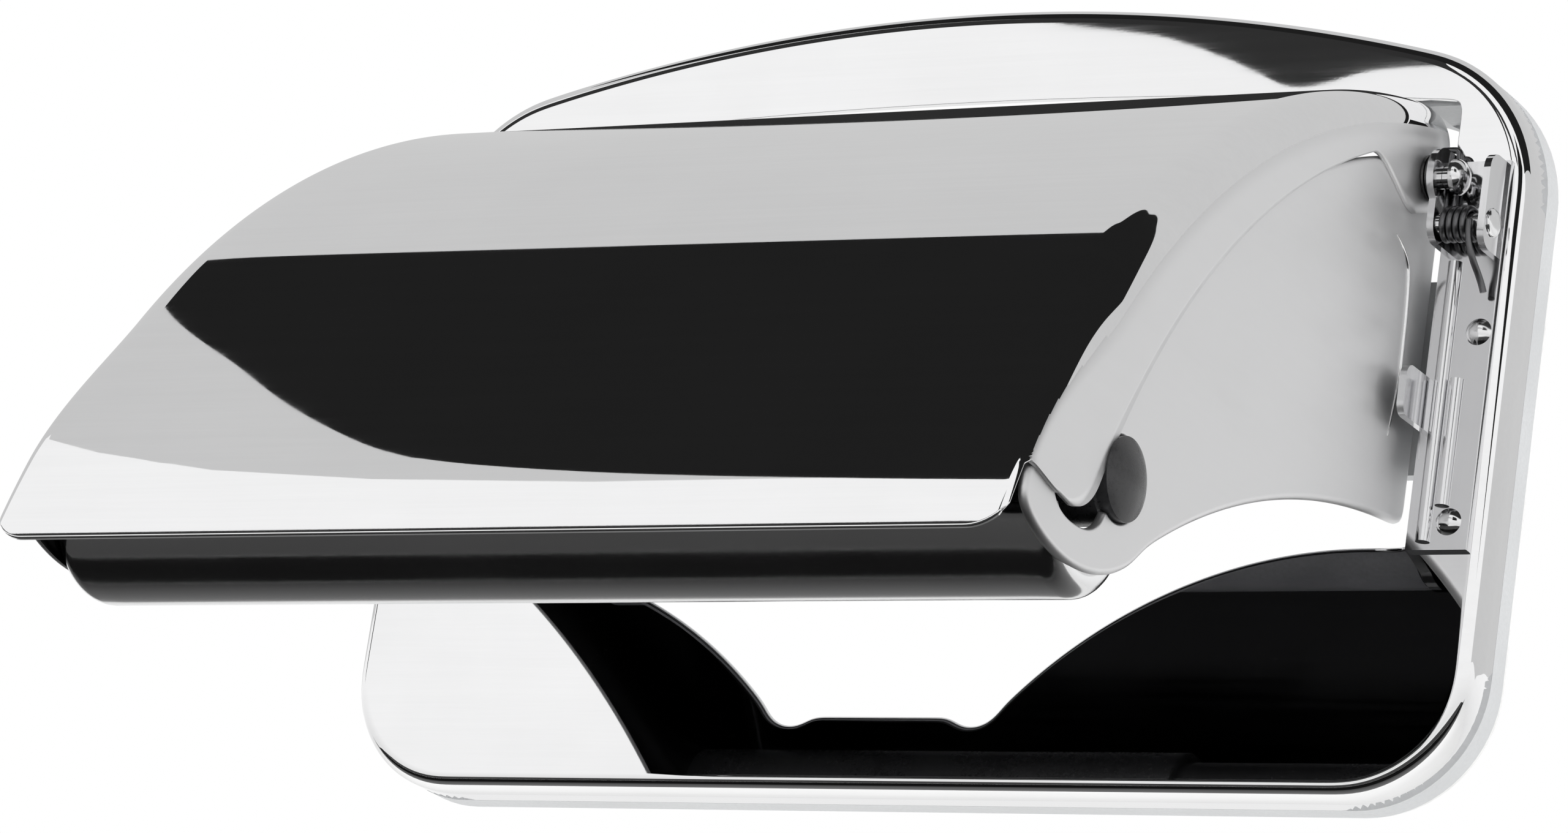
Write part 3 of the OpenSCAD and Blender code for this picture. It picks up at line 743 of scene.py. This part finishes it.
# Dark flags up in front, which the plate's right side and its upper bend mirror
FRONT_V = 900
flag = [(-600, 530), (-600, 488), (-560, 486), (-515, 478), (-472, 471), (-446, 461)]
flag += [(-428, 451), (-405, 457), (-380, 457.5), (-355, 452), (-300, 420), (-250, 400)]
flag += [(-250, 530)]
card("flag_front", [(x, FRONT_V, z) for x, z in resampled(flag, spacing=3, passes=8)], 0.03)
flag = [(-2600, 492), (-556, 492), (-556, 520), (300, 520), (300, 560), (-300, 640)]
flag += [(-300, 1180), (-2600, 1180)]
card("flag_front_high", [(x, FRONT_V + 1, z) for x, z in flag], 0.03)
# Something dark to the right in front, which the hood's right bend mirrors
card("flag_right", [(350, 880, 378), (1000, 880, 378), (1000, 880, 800), (350, 880, 800)], 0.012)
# Dark bands under the rolled lip
LOW_X = (-420, 700)
LIP_FRONT_V, LIP_MIDDLE_V = 107, 52
for name, near, far, shades in (
        ("under_front", (240, -60), (LIP_FRONT_V, -60), (0.062, 0.055)),
        ("under_middle", (LIP_FRONT_V, -60.5), (LIP_MIDDLE_V, -60.5), (0.007, 0.007)),
        ("under_back", (LIP_MIDDLE_V, -60), (5, -30), (0.035, 0.16)),
        ("under_step", (5, -30), (4, -16), (0.16, 0.24))):
    corners = [(LOW_X[0], *near), (LOW_X[1], *near), (LOW_X[1], *far), (LOW_X[0], *far)]
    card(name, corners, shades[0], (at(0, *near).y, at(0, *far).y, shades[1]))

FLOOR_HALF, FLOOR_Z = 4, -0.6
floor_mesh = bpy.data.meshes.new("floor")
signs = ((-1, -1), (1, -1), (1, 1), (-1, 1))
corners = [(x * FLOOR_HALF, y * FLOOR_HALF, FLOOR_Z) for x, y in signs]
floor_mesh.from_pydata(corners, [], [(0, 1, 2, 3)])
floor_mesh.materials.append(plastic("floor_paper", (0.86, 0.86, 0.855), 0.8, 300.0, 0.00002, 0.02))
put(floor_mesh, "floor")

# The camera sees white; everything else sees a soft change from grey below to near white
world = bpy.data.worlds.new("studio")
bpy.context.scene.world = world
world.use_nodes = True
tree = world.node_tree
tree.nodes.clear()
path = tree.nodes.new("ShaderNodeLightPath")
seen = tree.nodes.new("ShaderNodeBackground")
seen.inputs["Color"].default_value = (1, 1, 1, 1)
seen.inputs["Strength"].default_value = 1.0
around = tree.nodes.new("ShaderNodeBackground")
around.inputs["Strength"].default_value = 1.0
coords = tree.nodes.new("ShaderNodeTexCoord")
split = tree.nodes.new("ShaderNodeSeparateXYZ")
tree.links.new(coords.outputs["Generated"], split.inputs["Vector"])
ramp = tree.nodes.new("ShaderNodeValToRGB")
rise = tree.nodes.new("ShaderNodeMapRange")
rise.inputs["From Min"].default_value, rise.inputs["From Max"].default_value = -1.0, 1.0
tree.links.new(split.outputs["Z"], rise.inputs["Value"])
tree.links.new(rise.outputs["Result"], ramp.inputs["Fac"])
for element, (position, shade) in zip(ramp.color_ramp.elements, ((0.3, 0.7), (0.6, 0.97))):
    element.position, element.color = position, (shade, shade, shade, 1)
tree.links.new(ramp.outputs["Color"], around.inputs["Color"])
mix = tree.nodes.new("ShaderNodeMixShader")
out = tree.nodes.new("ShaderNodeOutputWorld")
tree.links.new(path.outputs["Is Camera Ray"], mix.inputs["Fac"])
tree.links.new(around.outputs["Background"], mix.inputs[1])
tree.links.new(seen.outputs["Background"], mix.inputs[2])
tree.links.new(mix.outputs["Shader"], out.inputs["Surface"])

LIT = Vector((0, -0.04, 0))
for name, spot, size, energy in (("key", (-0.9, -1.4, 0.9), 0.9, 14),
                                 ("fill", (1.3, -0.9, 0.3), 1.1, 8)):
    light_data = bpy.data.lights.new(name, "AREA")
    light_data.shape, light_data.size, light_data.energy = "SQUARE", size, energy
    light = bpy.data.objects.new(name, light_data)
    light.location = spot
    light.rotation_euler = (LIT - Vector(spot)).to_track_quat("-Z", "Y").to_euler()
    light.visible_camera = light.visible_glossy = False
    bpy.context.scene.collection.objects.link(light)

bpy.context.scene.view_settings.view_transform = "Standard"
